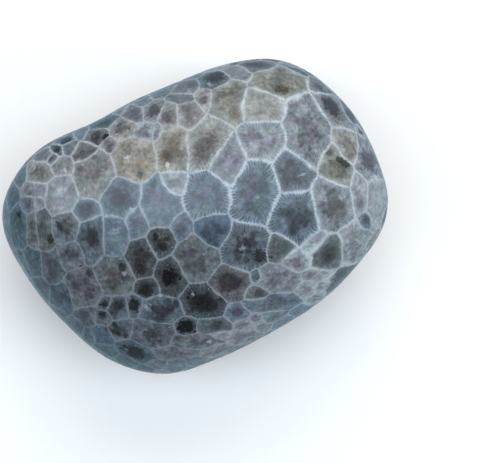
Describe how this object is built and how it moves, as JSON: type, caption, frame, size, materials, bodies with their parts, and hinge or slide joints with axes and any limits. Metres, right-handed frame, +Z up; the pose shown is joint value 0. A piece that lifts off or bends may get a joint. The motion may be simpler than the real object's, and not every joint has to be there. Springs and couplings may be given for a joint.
{
  "type": "petoskey stone",
  "caption": "Water-worn, polished pebble of fossil colony coral, a rounded oval that lies on a small flat spot.",
  "frame": {"origin": "under the middle of the stone's bounding box, on the level of the flat spot that it rests on", "axes": "+Z up as the stone rests, +X along its length towards its right-hand end, +Y towards its steeper long side"},
  "size_m": [0.0832, 0.0676, 0.0442],
  "materials": {
    "coral_limestone": "polished grey limestone with paler fossil coral cells"
  },
  "bodies": {
    "root": {"stone": "coral_limestone"}
  },
  "joints": []
}
